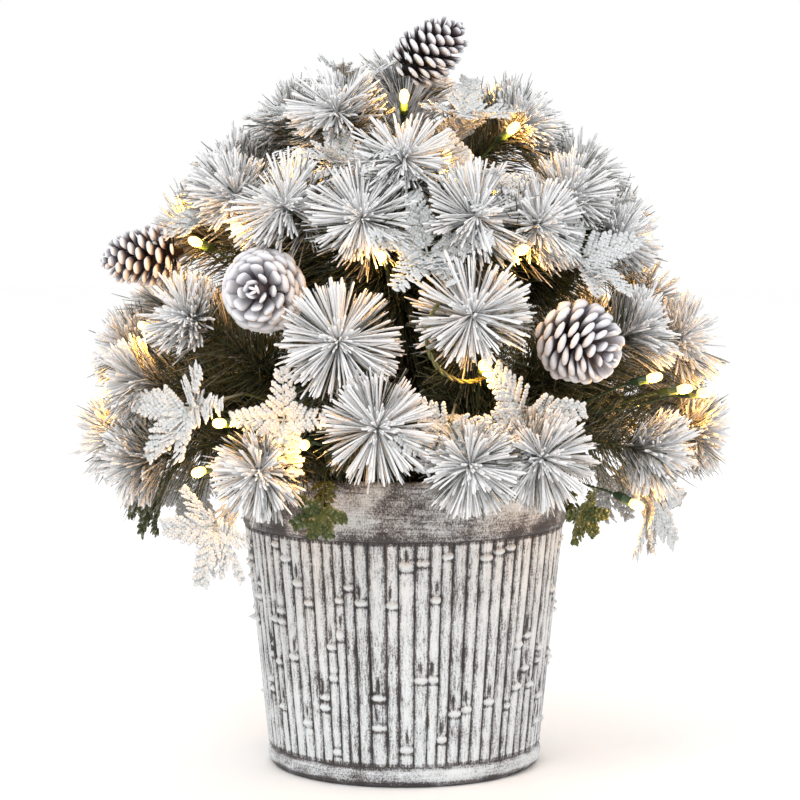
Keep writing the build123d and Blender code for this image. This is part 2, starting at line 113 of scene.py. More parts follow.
class Shader:
    """A node material under construction, with short calls for the nodes used here."""

    def __init__(self, name, roughness=0.6):
        self.material = bpy.data.materials.new(name)
        self.material.use_nodes = True
        self.tree = self.material.node_tree
        self.surface = self.tree.nodes["Principled BSDF"]
        self.surface.inputs["Roughness"].default_value = roughness

    def node(self, kind):
        return self.tree.nodes.new(kind)

    def link(self, source, target):
        self.tree.links.new(source, target)

    def mapped(self, kind, scale):
        """Texture coordinates of one kind, scaled along each axis."""
        coordinates = self.node("ShaderNodeTexCoord")
        mapping = self.node("ShaderNodeMapping")
        mapping.inputs["Scale"].default_value = scale
        self.link(coordinates.outputs[kind], mapping.inputs["Vector"])
        return mapping.outputs["Vector"]

    def noise(self, vector, scale, detail=4.0, roughness=0.6):
        made = self.node("ShaderNodeTexNoise")
        made.inputs["Scale"].default_value = scale
        made.inputs["Detail"].default_value = detail
        made.inputs["Roughness"].default_value = roughness
        self.link(vector, made.inputs["Vector"])
        return made.outputs["Fac"]

    def attribute(self, name):
        made = self.node("ShaderNodeAttribute")
        made.attribute_name = name
        return made.outputs["Fac"]

    def math(self, operation, first, second, clamp=False):
        made = self.node("ShaderNodeMath")
        made.operation = operation
        made.use_clamp = clamp
        for socket, value in zip(made.inputs, (first, second)):
            if isinstance(value, (int, float)):
                socket.default_value = value
            else:
                self.link(value, socket)
        return made.outputs[0]

    def times(self, first, second):
        return self.math("MULTIPLY", first, second)

    def plus(self, first, second):
        return self.math("ADD", first, second)

    def ramp(self, factor, stops):
        made = self.node("ShaderNodeValToRGB")
        elements = made.color_ramp.elements
        while len(elements) < len(stops):
            elements.new(0.5)
        for element, (place, colour) in zip(elements, stops):
            element.position = place
            element.color = (*colour, 1) if isinstance(colour, tuple) else (colour, colour, colour, 1)
        self.link(factor, made.inputs["Fac"])
        return made.outputs["Color"]

    def mix(self, factor, first, second):
        made = self.node("ShaderNodeMix")
        made.data_type = "RGBA"
        self.link(factor, made.inputs["Factor"])
        for socket, value in ((made.inputs["A"], first), (made.inputs["B"], second)):
            if isinstance(value, tuple):
                socket.default_value = (*value, 1)
            else:
                self.link(value, socket)
        return made.outputs["Result"]

    def colour(self, source):
        self.link(source, self.surface.inputs["Base Color"])

    def bump(self, height, strength, distance):
        made = self.node("ShaderNodeBump")
        made.inputs["Strength"].default_value = strength
        made.inputs["Distance"].default_value = distance
        self.link(height, made.inputs["Height"])
        self.link(made.outputs["Normal"], self.surface.inputs["Normal"])


def plain_material(name, colour, roughness):
    shader = Shader(name, roughness)
    shader.surface.inputs["Base Color"].default_value = (*colour, 1)
    return shader.material


def strand_material(name, stops, roughness, speckle, rise=0.22, level=0.5):
    """Colour by how flocked a strand is (U) and how far along it is (V), with flock specks."""
    shader = Shader(name, roughness)
    shader.surface.inputs["Specular IOR Level"].default_value = 0.25
    split = shader.node("ShaderNodeSeparateXYZ")
    coordinates = shader.node("ShaderNodeTexCoord")
    shader.link(coordinates.outputs["UV"], split.inputs["Vector"])
    specks = shader.noise(shader.mapped("UV", (160.0, 26.0, 1.0)), 1.0, 3.0, 0.7)
    flock = shader.plus(split.outputs["X"], shader.times(split.outputs["Y"], rise))
    flock = shader.plus(flock, shader.times(specks, speckle))
    flock = shader.math("SUBTRACT", flock, rise * level + speckle / 2, clamp=True)
    shader.colour(shader.ramp(flock, stops))
    return shader.material


def grained_material(name, low, high, roughness, scale, bump=0.3):
    """Two tones broken up by noise, with a little relief. scale is the noise's, along each axis."""
    shader = Shader(name, roughness)
    grain = shader.noise(shader.mapped("Object", scale), 1.0, 5.0, 0.65)
    shader.colour(shader.ramp(grain, [(0.35, low), (0.68, high)]))
    shader.bump(grain, bump, 0.6 * MM)
    return shader.material


def pot_material():
    """Brushed whitewash over a dark body: paint on the crests, painted shade in the grooves, streaks and chips."""
    shader = Shader("pot_wash", 0.62)
    painted_shade_and_tone = shader.attribute("painted_shade_and_tone")
    band = shader.attribute("band")
    upright = shader.noise(shader.mapped("Object", (620.0, 620.0, 48.0)), 1.0, 5.0, 0.7)
    level = shader.noise(shader.mapped("Object", (42.0, 42.0, 760.0)), 1.0, 5.0, 0.7)
    patches = shader.noise(shader.mapped("Object", (24.0, 24.0, 30.0)), 1.0, 5.0, 0.65)
    specks = shader.noise(shader.mapped("Object", (950.0, 950.0, 620.0)), 1.0, 3.0, 0.6)
    brush = shader.mix(band, upright, level)
    # The band is smoother along its grain and more patchy than the canes
    grain = shader.math("SUBTRACT", 1.7, shader.times(band, 0.7))
    cover = shader.plus(1.0, shader.times(band, 1.2))
    worn = shader.plus(1.98, shader.times(band, 0.42))
    # The pot's painted shade and highlight, with a tone of each cane's own, set how much paint shows
    paint = shader.plus(shader.times(painted_shade_and_tone, 0.92), shader.times(brush, grain))
    paint = shader.plus(paint, shader.times(patches, cover))
    paint = shader.plus(paint, shader.times(specks, 1.2))
    paint = shader.math("SUBTRACT", paint, worn, clamp=True)
    shader.colour(shader.ramp(paint, WASH_STOPS))
    shader.bump(shader.plus(brush, shader.times(specks, 0.5)), 0.35, 0.9 * MM)
    return shader.material


def bulb_material():
    shader = Shader("lamp_bulb", 0.2)
    shader.surface.inputs["Base Color"].default_value = (1.0, 0.72, 0.36, 1)
    shader.surface.inputs["Emission Color"].default_value = (1.0, 0.62, 0.18, 1)
    shader.surface.inputs["Emission Strength"].default_value = 3.0
    return shader.material


# Colours by how much flock or paint there is, from none at 0 to the most at 1
WASH_STOPS = [
    (0.08, (0.040, 0.034, 0.035)),
    (0.26, (0.13, 0.122, 0.125)),
    (0.42, (0.33, 0.335, 0.345)),
    (0.60, (0.56, 0.59, 0.61)),
    (0.90, (0.70, 0.735, 0.75)),
]
PINE_STOPS = [
    (0.0, (0.020, 0.028, 0.012)),
    (0.22, (0.050, 0.064, 0.034)),
    (0.45, (0.190, 0.195, 0.178)),
    (0.66, (0.53, 0.53, 0.53)),
    (1.0, (0.84, 0.84, 0.845)),
]
CEDAR_STOPS = [
    (0.0, (0.022, 0.034, 0.009)),
    (0.30, (0.085, 0.105, 0.038)),
    (0.55, (0.34, 0.36, 0.29)),
    (0.78, (0.56, 0.58, 0.57)),
    (1.0, (0.70, 0.71, 0.72)),
]
# Bare brown to white frost; the frosted cones show the purple-greys towards their scale roots as painted shade
CONE_STOPS = [
    (0.0, (0.022, 0.014, 0.013)),
    (0.30, (0.085, 0.058, 0.056)),
    (0.50, (0.22, 0.19, 0.20)),
    (0.72, (0.48, 0.47, 0.50)),
    (1.0, (0.73, 0.73, 0.76)),
]


# ---------------------------------------------------------------- mesh helpers


def unit(vectors):
    vectors = np.asarray(vectors, float)
    return vectors / np.linalg.norm(vectors, axis=-1, keepdims=True).clip(1e-12)


def across(vectors):
    """A unit vector at right angles to each given one."""
    vectors = np.atleast_2d(vectors)
    reference = np.where(np.abs(vectors[:, 2:3]) > 0.9, [[1.0, 0, 0]], [[0, 0, 1.0]])
    return unit(np.cross(vectors, reference))


class Gather:
    """Collects points and faces for one mesh."""

    def __init__(self):
        self.points, self.faces, self.uvs = [], [], []
        self.count = 0

    def add(self, points, faces, uvs):
        self.points.append(points.reshape(-1, 3))
        self.uvs.append(uvs.reshape(-1, 2))
        self.faces += [group + self.count for group in faces]
        self.count += self.points[-1].shape[0]

    def tubes(self, paths, wide, thick=None, sides=4, side=None, tint=0.5):
        """Closed tubes along many paths at once. wide and thick are the half sizes at each point, and
        tint is how flocked each tube is."""
        paths = np.asarray(paths, float)
        amount, steps = paths.shape[:2]
        wide = np.broadcast_to(wide, (amount, steps))
        thick = wide if thick is None else np.broadcast_to(thick, (amount, steps))
        along = unit(np.gradient(paths, axis=1))
        if side is None:
            side = across(unit(paths[:, -1] - paths[:, 0]))
        side = side[:, None, :] - along * (side[:, None, :] * along).sum(-1, keepdims=True)
        side = unit(side)
        face = np.cross(along, side)
        turn = np.arange(sides) * 2 * math.pi / sides
        ring = (
            side[:, :, None] * (np.cos(turn)[:, None] * wide[:, :, None, None])
            + face[:, :, None] * (np.sin(turn)[:, None] * thick[:, :, None, None])
        )
        points = paths[:, :, None] + ring
        index = np.arange(amount * steps * sides).reshape(amount, steps, sides)
        nearer, further = index[:, :-1], index[:, 1:]
        quads = np.stack(
            [nearer, np.roll(nearer, -1, 2), np.roll(further, -1, 2), further], axis=-1
        ).reshape(-1, 4)
        caps = np.concatenate([index[:, 0, ::-1], index[:, -1]])
        tint = np.broadcast_to(tint, (amount,))
        uvs = np.empty((amount, steps, sides, 2))
        uvs[..., 0] = tint[:, None, None]
        uvs[..., 1] = np.linspace(0.02, 0.98, steps)[None, :, None]
        self.add(points, (quads, caps), uvs)

    def build(self, name, material):
        mesh = bpy.data.meshes.new(name)
        points = np.concatenate(self.points)
        corners = np.concatenate([group.ravel() for group in self.faces])
        sizes = np.concatenate([np.full(len(group), group.shape[1]) for group in self.faces])
        starts = np.concatenate(([0], np.cumsum(sizes)[:-1]))
        mesh.vertices.add(len(points))
        mesh.vertices.foreach_set("co", points.astype(np.float32).ravel())
        mesh.loops.add(len(corners))
        mesh.loops.foreach_set("vertex_index", corners.astype(np.int32))
        mesh.polygons.add(len(sizes))
        mesh.polygons.foreach_set("loop_start", starts.astype(np.int32))
        mesh.polygons.foreach_set("use_smooth", np.ones(len(sizes), bool))
        layer = mesh.uv_layers.new(name="OFBake")
        layer.data.foreach_set("uv", np.concatenate(self.uvs)[corners].astype(np.float32).ravel())
        mesh.materials.append(material)
        mesh.update(calc_edges=True)
        mesh.validate()
        obj = bpy.data.objects.new(name, mesh)
        bpy.context.collection.objects.link(obj)
        return obj


def finish(gather, piece, material, body, node=None):
    """The gathered mesh as a piece on its body, in the place of a CAD node if there is one."""
    obj = gather.build(piece, MATERIALS[material])
    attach(obj, body)
    if node:
        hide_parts(node)


# ---------------------------------------------------------------- reading the CAD solids


def solids_of(node):
    """The vertices of each separate solid in a CAD node."""
    mesh = frame["nodes"][node].data
    points = np.array([v.co for v in mesh.vertices])
    spots = {}
    where = np.empty(len(points), int)
    for index, point in enumerate(np.round(points, 7)):
        where[index] = spots.setdefault(tuple(point), len(spots))
    parent = list(range(len(spots)))

    def root(item):
        while parent[item] != item:
            parent[item] = parent[parent[item]]
            item = parent[item]
        return item

    for edge in mesh.edges:
        first, second = (root(where[v]) for v in edge.vertices)
        parent[first] = second
    groups = {}
    for index in range(len(points)):
        groups.setdefault(root(where[index]), []).append(index)
    return [points[group] for group in groups.values()]


def spin_axis(points, hub):
    """Start and end, on its axis, of a long round solid: the start is the end nearer the hub."""
    spread = np.unique(np.round(points, 6), axis=0)
    centre = spread.mean(0)
    along = np.linalg.svd(spread - centre, full_matrices=False)[2][0]
    if np.dot(along, centre - hub) < 0:
        along = -along
    reach = (spread - centre) @ along
    return centre + along * reach.min(), centre + along * reach.max()


HINGES = {j["child"]: np.array(j["pos_m"]) for j in frame["joints"] if j["type"] == "hinge"}
HUB_RADIUS = 10.0 * MM
CROWN_HUB_RADIUS = 12.0 * MM


def bough_hub(name):
    """The centre of the ball at a bough's outer end, from its stem's far end."""
    low, high = (np.array(corner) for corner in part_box("stem_" + name))
    pivot = HINGES["bough_" + name]
    outward = np.array([pivot[0], pivot[1], 0.0])
    middle = (low + high) / 2
    reach = np.where(outward < -1e-6, low + HUB_RADIUS, middle)
    reach = np.where(outward > 1e-6, high - HUB_RADIUS, reach)
    reach[2] = high[2] - HUB_RADIUS
    return reach


def crown_hub():
    trunk_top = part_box("trunk")[1][2]
    return np.array([0.0, 0.0, trunk_top - CROWN_HUB_RADIUS])


BOUGHS = [node[len("stem_"):] for node in frame["nodes"] if node.startswith("stem_")]
HUBS = {name: bough_hub(name) for name in BOUGHS}
HUBS["crown"] = crown_hub()
BODY = {name: "bough_" + name for name in BOUGHS}
BODY["crown"] = "pot_and_trunk"

# ---------------------------------------------------------------- pine sprigs

# A kind of needle: its half widths and their places along it, and its sides
Strand = namedtuple("Strand", "radii steps sides")

THICK = Strand(np.array([0.40, 0.62, 0.78, 0.88, 0.94, 0.62]) * MM, (0.0, 0.22, 0.48, 0.74, 0.94, 1.0), 4)
MIDDLE = Strand(np.array([0.34, 0.50, 0.60, 0.36]) * MM, (0.0, 0.4, 0.9, 1.0), 3)
THIN = Strand(np.array([0.32, 0.38, 0.36, 0.20]) * MM, (0.0, 0.4, 0.85, 1.0), 3)
DARK = Strand(np.array([0.55, 0.62, 0.28]) * MM, (0.0, 0.6, 1.0), 3)
FIBRE = Strand(np.array([0.5, 0.5, 0.2]) * MM, (0.0, 0.6, 1.0), 3)

# The stiff core of a sprig, and the nose it ends in
CORE_LENGTH = 86 * MM
NOSE_LENGTH = 6 * MM
# Sprigs within this many degrees of the front are splayed, and more so above this height
FRONT_SPREAD = 52
SPLAYED_ABOVE = 0.27
GOLDEN_SHARE = 0.381966
NEEDLE_SAG = np.array([0, 0, 0.03])


def needles(gather, strand, roots, aims, lengths, bends, radii, tints):
    """Curved needles of one kind. radii are their half widths, for each needle or shared by all."""
    steps = np.asarray(strand.steps)
    paths = (
        roots[:, None]
        + aims[:, None] * lengths[:, None, None] * steps[None, :, None]
        + bends[:, None] * lengths[:, None, None] * (steps**2)[None, :, None]
    )
    gather.tubes(paths, radii, sides=strand.sides, tint=tints)


def brush(gather, rng, strand, start, end, amount, angles, length, tint, bend=0.0, weight=1.0, clumps=None):
    """Needles set round the line from start to end, at angles from its direction in degrees. They stand
    singly or in clumps, and weight makes them thicker."""
    along = unit(end - start)
    side = across(along)[0]
    face = np.cross(along, side)
    groups = clumps or amount
    loose = 1.0 if clumps else 0.0
    turn = (np.arange(groups) + rng.uniform(0, 1.4, groups)) * 2 * math.pi * GOLDEN_SHARE
    tilt = rng.uniform(*angles, groups)
    place = rng.uniform(0, 1, groups)
    member = np.arange(amount) % groups
    turn = turn[member] + rng.normal(0, 0.045, amount) * loose
    tilt = np.radians(tilt[member] + rng.normal(0, 2.6, amount) * loose)
    place = np.clip(place[member] + rng.normal(0, 0.05, amount), 0, 1)
    outward = side * np.cos(turn)[:, None] + face * np.sin(turn)[:, None]
    aims = along * np.cos(tilt)[:, None] + outward * np.sin(tilt)[:, None]
    roots = start + (end - start) * place[:, None]
    lengths = length * np.clip(rng.normal(1, 0.07, amount), 0.84, 1.12)
    bends = along * rng.normal(bend, 0.05, amount)[:, None]
    bends = bends + rng.normal(0, 0.03, (amount, 3)) - NEEDLE_SAG
    radii = strand.radii * weight
    radii = radii * rng.uniform(0.8, 1.2, amount)[:, None]
    radii = radii * rng.uniform(0.78, 1.25, (amount, radii.shape[1]))
    tints = np.clip(rng.normal(tint, 0.10, amount), 0.02, 0.98)
    needles(gather, strand, roots, aims, lengths, bends, radii, tints)


def pine_sprig(gather, rng, start, end, openness):
    """One flocked pine tip: an open front whorl, fuller behind it and thin green needles at the back."""
    along = unit(end - start)
    core = end - along * CORE_LENGTH
    tip = end - along * NOSE_LENGTH
    gather.tubes(np.array([[start, core, tip]]), np.array([[1.4, 1.4, 1.0]]) * MM, sides=6, tint=0.12)
    flat = 20 * openness
    spread = 16 * max(0.0, openness - 0.4)
    reach = rng.uniform(30, 36.5) + spread
    front = tip - along * (4 + 8 * (1 - openness)) * MM
    # The whorl sits a little askew on its wire
    skew = unit(along + across(along)[0] * rng.normal(0, 0.16) + rng.normal(0, 0.12, 3))
    whorl_end = front + skew * 2 * MM
    # The whorl, and the shorter needles that fill its middle
    brush(gather, rng, THICK, front - skew * 10 * MM, whorl_end, 200, (37 + 1.3 * flat, 76 + 0.75 * flat),
          reach * MM, 0.92, 0.02, weight=0.95, clumps=86)
    brush(gather, rng, THICK, front - skew * 8 * MM, whorl_end, 60, (10, 38 + flat),
          (27 - 6 * openness) * MM, 0.94, weight=0.9, clumps=36)
    # Thinner and greener needles further down the core
    brush(gather, rng, MIDDLE, tip - along * 36 * MM, front - along * 8 * MM, 140, (34 + flat, 62 + flat),
          (39.5 + spread * 0.7) * MM, 0.61, 0.06, clumps=84)
    brush(gather, rng, THIN, core, tip - along * 18 * MM, 160, (38 + 0.6 * flat, 68 + 0.5 * flat),
          (43 + spread * 0.6) * MM, 0.26, 0.08)
    # Green filler needles along the wire
    brush(gather, rng, DARK, start + (core - start) * 0.2, core, 170, (40, 85), 42 * MM, 0.09, 0.06)


def make_stem_greens(name):
    """Bare green needles on a bough's stem, and past its hub among the sprigs' wires."""
    gather = Gather()
    hub = HUBS[name]
    stem = hub - HINGES["bough_" + name]
    brush(gather, RNG, DARK, hub - stem * 0.75, hub, 360, (35, 100), 42 * MM, 0.09)
    brush(gather, RNG, DARK, hub, hub + unit(stem) * 34 * MM, 380, (20, 95), 48 * MM, 0.10)
    finish(gather, "stem_greens_" + name, "pine", BODY[name])


def make_trunk_greens():
    """Bare green needles on the trunk, and a flocked tuft that closes the bush under the highest cone."""
    gather = Gather()
    hub = HUBS["crown"]
    moss_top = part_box("moss_cover")[1][2]
    brush(gather, RNG, DARK, np.array([0, 0, moss_top + 12 * MM]), hub, 2100, (40, 115), 56 * MM, 0.08)
    brush(gather, RNG, MIDDLE, hub, hub + np.array([0, 0, 84 * MM]), 380, (26, 72), 43 * MM, 0.74,
          weight=1.15, clumps=170)
    finish(gather, "trunk_greens", "pine", "pot_and_trunk")


def make_pine(name):
    """A bough's pine sprigs, each on its CAD core."""
    gather = Gather()
    for points in solids_of("pine_" + name):
        start, end = spin_axis(points, HUBS[name])
        heading = math.degrees(math.atan2(end[0], -end[1]))
        # Those that face the front are splayed wide; the lowest and the sides' sweep forward
        if abs(heading) >= FRONT_SPREAD:
            openness = RNG.uniform(0.0, 0.6)
        elif end[2] > SPLAYED_ABOVE:
            openness = RNG.uniform(0.7, 1.0)
        else:
            openness = RNG.uniform(0.3, 0.6)
        pine_sprig(gather, RNG, start, end, openness)
    finish(gather, "pine_needles_" + name, "pine", BODY[name], "pine_" + name)


# ---------------------------------------------------------------- cedar sprigs


# Lobes and twigs are small drops, with these places along them
DROP_STEPS = np.array([0.0, 0.55, 1.0])
# A sprig's wire begins nearer than this to its hub, and its blade further out
WIRE_START = 13 * MM
WIRE_RADIUS = 1.1 * MM
BLADE_LENGTH = 72 * MM
# Where a blade is widest, as a share of its length
BLADE_WIDEST = 0.35
# The bush's middle, which the sprays face away from
BUSH_CORE = np.array([0, 0, 0.27])
# Sprigs this near the front are all flocked, but for the low ones in the middle, which are small and bare
FLOCKED_HEADING = 60
BARE_HEADING = 42
BARE_BELOW = 0.262


def drops(pieces):
    """Paths, directions and sizes of drops, each of which is a start, a direction and a size."""
    starts, aims, sizes = (np.array(part) for part in zip(*pieces))
    aims = unit(aims)
    paths = starts[:, None] + aims[:, None] * sizes[:, None, None] * DROP_STEPS[None, :, None]
    return paths, aims, sizes


def frond(gather, rng, root, along, side, length, flock, droop):
    """A flat spray: side twigs along a bent rib, each with paired scale lobes."""
    face = np.cross(side, along)
    reach = np.linspace(0, 1, 12)
    sag = -face * droop * length
    rib = root + along * length * reach[:, None] + sag * (reach**2)[:, None]
    gather.tubes(rib[None], np.linspace(1.0, 0.45, 12)[None] * MM, sides=5, tint=flock * 0.8)
    pairs = max(5, int(length / (5.8 * MM)))
    twigs, lobes = [], []
    for pair in range(pairs):
        share = 0.10 + 0.80 * pair / (pairs - 1)
        for hand in (-1, 1):
            place = share + rng.uniform(-0.02, 0.02) + 0.02 * hand
            base = root + along * length * place + sag * place**2
            lift = rng.normal(0.06, 0.10)
            aim = unit(along * 0.72 + side * hand * 0.72 + face * lift - face * droop * place)
            twig = length * 0.40 * (1 - 0.74 * place) * rng.uniform(0.88, 1.12)
            twigs.append((base, aim, twig))
            cross = np.cross(aim, face)
            rows = max(2, int(round(twig / (2.5 * MM))))
            for row in range(rows):
                spot = base + aim * twig * (row + 0.4) / rows
                for turn in (-1, 1):
                    outward = unit(aim * 0.78 + cross * turn * 0.62 + face * rng.normal(0, 0.12))
                    size = (3.7 - 1.2 * row / rows) * MM * rng.uniform(0.85, 1.15)
                    lobes.append((spot, outward, size))
            lobes.append((base + aim * twig * 0.92, aim, 3.6 * MM))
    tip = root + along * length + sag
    for turn in (-0.5, 0, 0.5):
        lobes.append((tip - along * 3 * MM, unit(along + side * turn - face * droop), 4.6 * MM))
    paths, aims, sizes = drops(lobes)
    wide = sizes[:, None] * np.array([0.30, 0.46, 0.30])
    thick = np.full_like(wide, 0.55 * MM) * np.array([0.8, 1.2, 0.6])
    tints = np.clip(rng.normal(flock, 0.07, len(lobes)), 0.02, 0.98)
    gather.tubes(paths, wide, thick, sides=4, side=unit(np.cross(aims, face)), tint=tints)
    paths, _, _ = drops(twigs)
    gather.tubes(paths, np.array([0.9, 0.8, 0.4])[None] * MM, sides=4, tint=flock * 0.9)


def blade_of(points, hub):
    """Root, direction and side vector of a cedar blade."""
    spread = np.unique(np.round(points, 6), axis=0)
    away = np.linalg.norm(spread - hub, axis=1)
    tip = spread[away > away.max() - 1.0 * MM].mean(0)
    along = unit(tip - spread[away < away.min() + 3 * MM].mean(0))
    flat = spread - np.outer((spread - tip) @ along, along)
    gaps = np.linalg.norm(flat[:, None] - flat[None], axis=-1)
    first, second = np.unravel_index(gaps.argmax(), gaps.shape)
    side = unit(spread[second] - spread[first])
    middle = (spread[first] + spread[second]) / 2
    along = unit(tip - middle)
    root = middle - (tip - middle) * BLADE_WIDEST / (1 - BLADE_WIDEST)
    return root, along, side


def cedar_sprig(gather, rng, root, along, side, flock, scale):
    """A rosette of sprays that show their faces outwards, and one that hangs over."""
    stalk = np.array([[root, root + along * 25 * MM, root + along * 50 * MM]])
    gather.tubes(stalk, np.full((1, 3), WIRE_RADIUS), sides=5, tint=flock * 0.6)
    # The blade's own spray, bending over
    frond(gather, rng, root + along * 14 * MM, along, side, 62 * MM * scale, flock, 0.42)
    outward = unit(root + along * BLADE_LENGTH - BUSH_CORE)
    level = unit(np.cross([0, 0, 1.0], outward))
    rise = np.cross(outward, level)
    middle = root + along * 48 * MM
    for turn in (-172, -118, -62, -8, rng.uniform(40, 140)):
        angle = math.radians(turn + rng.uniform(-16, 16))
        spread = level * math.cos(angle) + rise * math.sin(angle)
        aim = unit(spread * 0.86 + outward * rng.uniform(0.25, 0.55))
        across_it = unit(np.cross(aim, outward))
        frond(gather, rng, middle, aim, across_it, rng.uniform(38, 54) * MM * scale, flock, 0.14)


def make_cedar(name):
    """A bough's cedar sprigs: each CAD blade becomes a rosette, and each wire stays a wire."""
    gather = Gather()
    hub = HUBS[name]
    for points in solids_of("cedar_" + name):
        if np.linalg.norm(points - hub, axis=1).min() < WIRE_START:
            start, end = spin_axis(points, hub)
            wire = np.array([[start, (start + end) / 2, end]])
            gather.tubes(wire, np.full((1, 3), WIRE_RADIUS), sides=5, tint=0.1)
            continue
        root, along, side = blade_of(points, hub)
        side = side if side @ np.cross(along, [0, 0, 1.0]) > 0 else -side
        heading = abs(math.degrees(math.atan2(root[0], -root[1])))
        bare = heading < BARE_HEADING and (root + along * BLADE_LENGTH)[2] < BARE_BELOW
        flock = RNG.choice([0.95, 0.88, 0.34], p=[0.6, 0.25, 0.15])
        if heading < FLOCKED_HEADING or name == "crown":
            flock = 0.22 if bare else 0.96
        cedar_sprig(gather, RNG, root, along, side, flock, 0.46 if bare else 1.0)
    finish(gather, "cedar_sprays_" + name, "cedar", BODY[name], "cedar_" + name)


# ---------------------------------------------------------------- pine cones

GOLDEN_TURN = math.radians(137.508)
CONE_SCALES = 84
NECK_LENGTH = 4 * MM
# Along a scale: places, and its half width and thickness as shares of the largest
SCALE_STEPS = np.array([0.0, 0.34, 0.56, 0.70, 0.81, 0.90, 0.955, 0.99, 1.0])
SCALE_WIDE = np.array([0.26, 0.40, 0.66, 0.88, 1.0, 0.98, 0.84, 0.56, 0.20])
SCALE_THICK = np.array([0.40, 0.44, 0.52, 0.66, 0.84, 1.0, 0.98, 0.66, 0.24])
# The other cones are frosted all over, with painted shade darkening their scales towards the roots
TIPPED_CONES = ("cone_crown", "cone_left", "cone_back", "cone_right")


def cone_frame(node):
    """Base, axis, length and radius of a cone, from its flat neck and its outline."""
    solid = max(solids_of(node), key=lambda points: np.ptp(points, axis=0).prod())
    mesh = frame["nodes"][node].data
    spots = {tuple(point) for point in np.round(solid, 6)}
    # The neck is the largest area that faces one way
    flats = {}
    for polygon in mesh.polygons:
        corner = mesh.vertices[polygon.vertices[0]].co
        if tuple(np.round(np.array(corner), 6)) not in spots:
            continue
        normal = np.array(polygon.normal)
        facing = tuple(np.round(normal, 2))
        area, total = flats.get(facing, (0.0, np.zeros(3)))
        flats[facing] = (area + polygon.area, total + normal * polygon.area)
    _, neck = max(flats.values(), key=lambda flat: flat[0])
    axis = -unit(neck)
    centre = np.unique(np.round(solid, 6), axis=0).mean(0)
    reach = (solid - centre) @ axis
    flat = solid - centre - np.outer(reach, axis)
    middle = (flat.max(0) + flat.min(0)) / 2
    base = centre + middle + axis * (reach.min() + NECK_LENGTH)
    radius = np.linalg.norm(flat - middle, axis=1).max()
    return base, axis, reach.max() - reach.min() - NECK_LENGTH, radius


def make_cone(node, body):
    """A cone of broad flat scales in a spiral, opening out from its core."""
    # Frosted cones are white at their scale tips and take painted shade towards the roots
    frosting, material = (0.52, "tipped") if node in TIPPED_CONES else (0.92, "frost_and_painted_shade")
    base, axis, length, radius = cone_frame(node)
    side = across(axis)[0]
    face = np.cross(axis, side)
    gather = Gather()
    order = np.arange(CONE_SCALES)
    share = ((order + 0.5) / CONE_SCALES) ** 0.84
    swell = np.sin(np.pi * (0.18 + 0.75 * share)) ** 0.72
    turn = order * GOLDEN_TURN + RNG.normal(0, 0.05, CONE_SCALES)
    outward = side * np.cos(turn)[:, None] + face * np.sin(turn)[:, None]
    lean = np.interp(share, [0, 0.2, 0.6, 0.86, 1], [108, 84, 60, 38, 6])
    tilt = np.radians(lean + RNG.normal(0, 3, CONE_SCALES))
    aims = axis * np.cos(tilt)[:, None] + outward * np.sin(tilt)[:, None]
    inset = radius * 0.08 * (1 - share)
    reach = np.minimum((radius * swell - inset) / np.sin(tilt).clip(0.62), radius * 0.96)
    # Each tip stands at its own height on the cone, so its root sits lower on the core
    height = length * (0.04 + 0.93 * share) - aims @ axis * reach
    roots = base + axis * height[:, None] + outward * inset[:, None]
    curl = axis * np.interp(share, [0, 0.5, 1], [0.16, 0.08, 0.0])[:, None]
    paths = (
        roots[:, None]
        + aims[:, None] * reach[:, None, None] * SCALE_STEPS[None, :, None]
        + curl[:, None] * reach[:, None, None] * (SCALE_STEPS**3)[None, :, None]
    )
    width = radius * np.interp(share, [0, 0.3, 0.75, 1], [0.20, 0.245, 0.205, 0.10])
    width = width * RNG.uniform(0.9, 1.12, CONE_SCALES)
    thick = width * (0.26 + 0.10 * frosting)
    hands = unit(np.cross(axis, outward))
    tints = np.clip(RNG.normal(frosting, 0.06, CONE_SCALES), 0.02, 0.98)
    gather.tubes(paths, width[:, None] * SCALE_WIDE, thick[:, None] * SCALE_THICK, sides=9, side=hands,
                 tint=tints)
    core_steps = np.linspace(0, 1, 10)
    core = base + axis * length * (0.02 + 0.78 * core_steps[:, None])
    core_wide = radius * 0.34 * np.sin(np.pi * (0.03 + 0.91 * core_steps)) ** 0.7
    gather.tubes(core[None], core_wide[None], sides=12, tint=0.15)
    finish(gather, "scales_" + node, material, body, node)


# ---------------------------------------------------------------- lamps


GLOW_POWER = 0.115
GLOW_COLOUR = (1.0, 0.45, 0.06)
LEAD_SPACING = 1.3 * MM
# A lamps node holds bulbs, which are shorter than the first, and a run of leads thinner than the second
LONGEST_BULB = 14 * MM
WIDEST_RUN = 2 * MM
# Along a bulb and a holder: places, and radii in millimetres
BULB_LENGTH = 12 * MM
BULB_STEPS = np.array([0.0, 0.25, 0.6, 0.85, 0.96, 1.0])
BULB_RADII = np.array([2.8, 3.7, 3.8, 3.0, 1.8, 0.4])
HOLDER_LENGTH = 16 * MM
HOLDER_STEPS = np.array([0.0, 0.12, 0.16, 0.5, 0.54, 0.6, 0.64, 0.97, 1.0])
HOLDER_RADII = np.array([1.5, 2.4, 3.2, 3.3, 3.7, 3.7, 3.3, 3.4, 3.0])
BOW_BOUGH = "lower_2"


def twist_leads(gather, middle, spacing, pitch, radius=0.62 * MM):
    """Two leads twisted round each other along a path."""
    along = unit(np.gradient(middle, axis=0))
    side = across(middle[-1] - middle[0])[0]
    side = unit(side - along * (along @ side)[:, None])
    face = np.cross(along, side)
    run = np.concatenate(([0], np.cumsum(np.linalg.norm(np.diff(middle, axis=0), axis=1))))
    angle = run / pitch * 2 * math.pi
    for half in (0.0, math.pi):
        offset = side * np.cos(angle + half)[:, None] + face * np.sin(angle + half)[:, None]
        gather.tubes((middle + offset * spacing / 2)[None], np.full((1, len(run)), radius), sides=6, tint=0.5)


